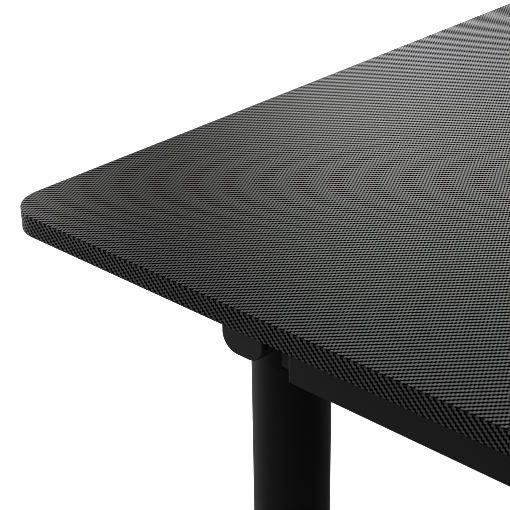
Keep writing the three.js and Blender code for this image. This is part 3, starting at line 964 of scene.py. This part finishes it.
def make_rail(rail):
    """An angle bent from strip: its web looks outward and its flange lies under the board."""
    metal = bpy.context.scene.desk_metal
    low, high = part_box(rail)
    inward = -1 if "rear" in rail else 1
    face_y = high.y if "rear" in rail else low.y
    depth = high.y - low.y

    def at(across, down):
        return Vector((low.x, face_y + inward * across, high.z - down))

    drop = high.z - low.z
    bm = bmesh.new()
    section = outline_face(bm, [
        (at(0, drop), 0, 1), (at(RAIL_WALL, drop), 0, 1),
        (at(RAIL_WALL, RAIL_WALL), RAIL_INNER_BEND, 4),
        (at(depth, RAIL_WALL), 0, 1), (at(depth, 0), 0, 1), (at(0, 0), RAIL_BEND, 6),
    ])
    raise_face(bm, section, (high.x - low.x, 0.0, 0.0))

    def on_outside(vert):
        return min(abs(vert.co.y - face_y), high.z - vert.co.z) < RAIL_WALL / 2

    rims = [
        edge for edge in bm.edges
        if abs(edge.verts[0].co.x - edge.verts[1].co.x) < HAIRLINE and all(map(on_outside, edge.verts))
    ]
    soften_edges(bm, rims, metal.rail_end, 4)
    soften_edges(bm, sharp_edges(bm, SQUARE_EDGE), metal.soften, 3)
    finish_piece(f"{rail}_angle", bm, "rail coat", "black_steel", [rail])


def screw_shape(radius, height):
    """A pan head with a cross recess, its face down and its seat at the origin."""
    rim, dome = 0.25 * height, 0.75 * height
    slot_reach, slot_width, slot_depth = 1.1 * radius, 0.28 * radius, 1.3 * height
    bm = bmesh.new()
    turned(bm, [
        (0.0, 0.0), (radius, 0.0), (radius, -rim),
        *arc(radius - dome, -rim, dome, 0, -75, 4), (0.0, -height),
    ], Vector((0.0, 0.0, 0.0)), SCREW_STEPS)
    for size in ((slot_width, slot_reach, slot_depth), (slot_reach, slot_width, slot_depth)):
        slot = bmesh.new()
        shape = Matrix.Translation((0.0, 0.0, -1.05 * height)) @ Matrix.Diagonal((*size, 1.0))
        bmesh.ops.create_cube(slot, size=1.0, matrix=shape)
        bm = combined(bm, slot, "DIFFERENCE")
    return bm


def bolt_shape(radius, height, facing):
    """A cap head with a hexagon socket, its seat at the origin, looking along Y."""
    bm = bmesh.new()
    turned(bm, [
        (0.0, 0.0), (radius, 0.0), (radius, height - BOLT_CHAMFER),
        (radius - BOLT_CHAMFER, height), (0.0, height),
    ], Vector((0.0, 0.0, 0.0)), BOLT_STEPS)
    socket = bmesh.new()
    bmesh.ops.create_cone(
        socket, segments=6, radius1=0.5 * radius, radius2=0.5 * radius, depth=height, cap_ends=True,
        matrix=Matrix.Translation((0.0, 0.0, 0.9 * height))
    )
    bm = combined(bm, socket, "DIFFERENCE")
    upright = Matrix.Rotation(-facing * math.pi / 2, 3, "X")
    bmesh.ops.rotate(bm, verts=bm.verts, cent=(0, 0, 0), matrix=upright)
    return bm


def scatter(name, shape, places, material, slot):
    """One piece that holds a copy of a small shape at each place."""
    mesh = bpy.data.meshes.new(name)
    shape.to_mesh(mesh)
    shape.free()
    bm = bmesh.new()
    for place in places:
        before = len(bm.verts)
        bm.from_mesh(mesh)
        bm.verts.ensure_lookup_table()
        bmesh.ops.translate(bm, verts=bm.verts[before:], vec=place)
    bpy.data.meshes.remove(mesh)
    finish_piece(name, bm, material, slot)


def frame_screw_places():
    """Under every ear, and along every rail's flange."""
    for arm in ARMS:
        middle = node_middle(f"{arm}_arm_front_cap").x
        reach = (ARM_WIDTH + EAR_REACH) / 2
        for y in ear_places(arm):
            for side in (-1, 1):
                yield Vector((middle + side * reach, y, FRAME_TOP - EAR_THICKNESS))
    for rail in RAILS:
        low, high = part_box(rail)
        y = low.y + FLANGE_HOLE if "rear" in rail else high.y - FLANGE_HOLE
        run = high.x - low.x - 2 * RAIL_SCREW_MARGIN
        spaces = max(1, round(run / RAIL_SCREW_PITCH))
        for index in range(spaces + 1):
            yield Vector((low.x + RAIL_SCREW_MARGIN + run * index / spaces, y, FRAME_TOP - RAIL_WALL))


def plate_screw_places():
    """Near the four corners of every joining plate."""
    for plate in PLATES:
        low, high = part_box(plate)
        for x in (low.x + PLATE_HOLE, high.x - PLATE_HOLE):
            for y in (low.y + PLATE_HOLE, high.y - PLATE_HOLE):
                yield Vector((x, y, low.z))


def connector_bolt_places(facing):
    """On the back of each connector, where it overlaps its rail."""
    for rail in RAILS:
        if ("rear" in rail) != (facing < 0):
            continue
        for hand in HANDS:
            low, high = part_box(f"{rail}_{hand}_connector")
            x = high.x - BOLT_INSET if hand == "left" else low.x + BOLT_INSET
            yield Vector((x, low.y if facing < 0 else high.y, (low.z + high.z) / 2))


# ---- stage ----------------------------------------------------------------------------------


def make_floor(stage):
    """A plain pale floor that stays white in view and throws back less light than it shows."""
    bm = bmesh.new()
    bmesh.ops.create_grid(bm, x_segments=1, y_segments=1, size=stage.floor / 2)
    mesh = bpy.data.meshes.new("floor")
    bm.to_mesh(mesh)
    bm.free()
    floor = bpy.data.objects.new("floor", mesh)
    bpy.context.scene.collection.objects.link(floor)
    material = bpy.data.materials.new("pale floor")
    material.use_nodes = True
    g = Graph(material.node_tree)
    material.node_tree.nodes.remove(material.node_tree.nodes["Principled BSDF"])
    seen = g.node("ShaderNodeLightPath").outputs["Is Camera Ray"]
    plain = g.node("ShaderNodeBsdfDiffuse")
    plain.inputs["Color"].default_value = (*[stage.bounce] * 3, 1.0)
    bright = g.node("ShaderNodeBsdfDiffuse")
    bright.inputs["Color"].default_value = (*[FLOOR_WHITE] * 3, 1.0)
    glow = g.node("ShaderNodeEmission")
    glow.inputs["Strength"].default_value = stage.glow
    both = g.node("ShaderNodeAddShader")
    g.plug(both.inputs[0], bright.outputs[0])
    g.plug(both.inputs[1], glow.outputs[0])
    choice = g.node("ShaderNodeMixShader")
    g.plug(choice.inputs[0], seen)
    g.plug(choice.inputs[1], plain.outputs[0])
    g.plug(choice.inputs[2], both.outputs[0])
    g.plug(material.node_tree.nodes["Material Output"].inputs["Surface"], choice.outputs[0])
    mesh.materials.append(material)


def direction(turn, rise):
    """A unit vector, turned from the back towards the left and raised from the horizon, in degrees."""
    turn, rise = math.radians(turn), math.radians(rise)
    return (-math.sin(turn) * math.cos(rise), math.cos(turn) * math.cos(rise), math.sin(rise))


def make_surroundings(stage):
    """Soft studio light: a faint even one and broad glows, with plain white in view."""
    world = bpy.data.worlds.new("studio")
    bpy.context.scene.world = world
    world.use_nodes = True
    g = Graph(world.node_tree)
    back = world.node_tree.nodes["Background"]
    toward = g.node("ShaderNodeTexCoord").outputs["Generated"]
    level = stage.ambient
    for turn, rise, sharpness, strength in STUDIO_GLOWS:
        facing = g.math("MAXIMUM", g.vector("DOT_PRODUCT", toward, direction(turn, rise)), 0.0)
        glow = g.math("MULTIPLY", g.math("POWER", facing, sharpness), strength * stage.glows)
        level = g.math("ADD", level, glow)
    seen = g.node("ShaderNodeLightPath").outputs["Is Camera Ray"]
    g.plug(back.inputs["Color"], (1.0, 1.0, 1.0, 1.0))
    g.plug(back.inputs["Strength"], g.blend(seen, level, 1.0))


def make_lamp(name, place, aim, size, power):
    """A soft rectangular lamp at a place, aimed at a point."""
    lamp = bpy.data.lights.new(name, "AREA")
    lamp.shape = "RECTANGLE"
    lamp.size, lamp.size_y = size
    lamp.energy = power
    holder = bpy.data.objects.new(name, lamp)
    holder.location = place
    holder.rotation_euler = (Vector(aim) - Vector(place)).to_track_quat("-Z", "Y").to_euler()
    bpy.context.scene.collection.objects.link(holder)


def make_camera(stage):
    """A long lens over the desk's front left corner."""
    camera = bpy.data.cameras.new("camera")
    camera.lens = stage.lens
    camera.sensor_width = SENSOR_WIDTH
    camera.shift_x = stage.shift
    camera.clip_end = VIEW_END
    holder = bpy.data.objects.new("camera", camera)
    holder.location = stage.eye
    holder.rotation_euler = (math.pi / 2 - stage.pitch, 0.0, stage.turn)
    bpy.context.scene.collection.objects.link(holder)
    bpy.context.scene.camera = holder


# ---- operators ------------------------------------------------------------------------------


class DeskOperator:
    """What every operator of the desk shares."""

    bl_options = {"REGISTER", "UNDO"}


class DESK_OT_finishes(DeskOperator, bpy.types.Operator):
    """Make the desk's materials and give them to the frame's own parts"""

    bl_idname = "desk.finishes"
    bl_label = "Finishes"

    def execute(self, context):
        make_materials()
        for board in BOARDS:
            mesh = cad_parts[f"{board}_board"].data
            mesh.materials.clear()
            mesh.materials.append(bpy.data.materials["board backing"])
        return {"FINISHED"}


class DESK_OT_laminates(DeskOperator, bpy.types.Operator):
    """Lay the woven laminate on both boards"""

    bl_idname = "desk.laminates"
    bl_label = "Laminates"

    def execute(self, context):
        for board in BOARDS:
            make_laminate(board)
        return {"FINISHED"}


class DESK_OT_edging(DeskOperator, bpy.types.Operator):
    """Run the woven edging round both boards"""

    bl_idname = "desk.edging"
    bl_label = "Edging"

    def execute(self, context):
        for board in BOARDS:
            make_edging(board)
        return {"FINISHED"}


class DESK_OT_arms(DeskOperator, bpy.types.Operator):
    """Make the three arms under the boards"""

    bl_idname = "desk.arms"
    bl_label = "Arms"

    def execute(self, context):
        for arm in ARMS:
            make_arm(arm)
        return {"FINISHED"}


class DESK_OT_caps(DeskOperator, bpy.types.Operator):
    """Close both ends of every arm"""

    bl_idname = "desk.caps"
    bl_label = "End caps"

    def execute(self, context):
        for arm in ARMS:
            for end in ENDS:
                make_cap(arm, end)
        return {"FINISHED"}


class DESK_OT_legs(DeskOperator, bpy.types.Operator):
    """Make the six legs and the necks that hold the arms"""

    bl_idname = "desk.legs"
    bl_label = "Legs"

    def execute(self, context):
        for leg in LEGS:
            make_leg(leg)
            make_saddle(leg)
        return {"FINISHED"}


class DESK_OT_feet(DeskOperator, bpy.types.Operator):
    """Make the leg inserts and the levelling feet"""

    bl_idname = "desk.feet"
    bl_label = "Inserts and feet"

    def execute(self, context):
        for leg in LEGS:
            make_insert(leg)
            make_foot(leg)
        return {"FINISHED"}


class DESK_OT_rails(DeskOperator, bpy.types.Operator):
    """Make the angle rails and the connectors at their ends"""

    bl_idname = "desk.rails"
    bl_label = "Rails"

    def execute(self, context):
        for rail in RAILS:
            make_rail(rail)
            for hand in HANDS:
                node = f"{rail}_{hand}_connector"
                softened_copy(f"{node}_casting", node, "casting", "black_casting", CASTING_ROUND)
        return {"FINISHED"}


class DESK_OT_plates(DeskOperator, bpy.types.Operator):
    """Make the plates that join the boards"""

    bl_idname = "desk.plates"
    bl_label = "Joining plates"

    def execute(self, context):
        for plate in PLATES:
            softened_copy(f"{plate}_strap", plate, "zinc plate", "zinc_plate", PLATE_ROUND)
        return {"FINISHED"}


class DESK_OT_screws(DeskOperator, bpy.types.Operator):
    """Drive the screws and the connectors' bolts"""

    bl_idname = "desk.screws"
    bl_label = "Screws and bolts"

    def execute(self, context):
        radius = context.scene.desk_metal.screw / 2
        for name, places, material, slot in (
            ("frame_screws", frame_screw_places(), "screw finish", "black_steel"),
            ("plate_screws", plate_screw_places(), "zinc plate", "zinc_plate"),
        ):
            scatter(name, screw_shape(radius, SCREW_HEIGHT), places, material, slot)
        for name, facing in (("front", 1), ("rear", -1)):
            shape = bolt_shape(BOLT_HEAD / 2, BOLT_HEIGHT, facing)
            places = connector_bolt_places(facing)
            scatter(f"{name}_connector_bolts", shape, places, "screw finish", "black_steel")
        return {"FINISHED"}


class DESK_OT_stage(DeskOperator, bpy.types.Operator):
    """Set up the floor, the light and the camera"""

    bl_idname = "desk.stage"
    bl_label = "Stage"

    def execute(self, context):
        stage = context.scene.desk_stage
        context.scene.view_settings.view_transform = "Standard"
        context.scene.cycles.filter_width = FILTER_WIDTH
        make_floor(stage)
        make_surroundings(stage)
        make_lamp("left wall", LAMP_PLACE, LAMP_AIM, LAMP_SIZE, LAMP_POWER * stage.lamps)
        make_camera(stage)
        return {"FINISHED"}


class DESK_PT_panel(bpy.types.Panel):
    """Everything that builds the desk, in order"""

    bl_label = "Corner desk"
    bl_idname = "DESK_PT_panel"
    bl_space_type = "VIEW_3D"
    bl_region_type = "UI"
    bl_category = "Corner desk"

    def draw(self, context):
        for group in PROPERTY_GROUPS:
            values = getattr(context.scene, group)
            box = self.layout.box()
            for name in values.__annotations__:
                box.prop(values, name)
        for operator in OPERATORS:
            self.layout.operator(operator.bl_idname)


PROPERTY_GROUPS = {"desk_weave": DeskWeave, "desk_metal": DeskMetal, "desk_stage": DeskStage}
OPERATORS = (
    DESK_OT_stage, DESK_OT_finishes, DESK_OT_laminates, DESK_OT_edging, DESK_OT_arms, DESK_OT_caps,
    DESK_OT_legs, DESK_OT_feet, DESK_OT_rails, DESK_OT_plates, DESK_OT_screws,
)


def register():
    for kind in (*PROPERTY_GROUPS.values(), *OPERATORS, DESK_PT_panel):
        bpy.utils.register_class(kind)
    for name, group in PROPERTY_GROUPS.items():
        setattr(bpy.types.Scene, name, bpy.props.PointerProperty(type=group))


def unregister():
    for name in PROPERTY_GROUPS:
        delattr(bpy.types.Scene, name)
    for kind in reversed((*PROPERTY_GROUPS.values(), *OPERATORS, DESK_PT_panel)):
        bpy.utils.unregister_class(kind)


def main():
    register()
    for operator in OPERATORS:
        family, name = operator.bl_idname.split(".")
        getattr(getattr(bpy.ops, family), name)()


if __name__ == "__main__":
    main()
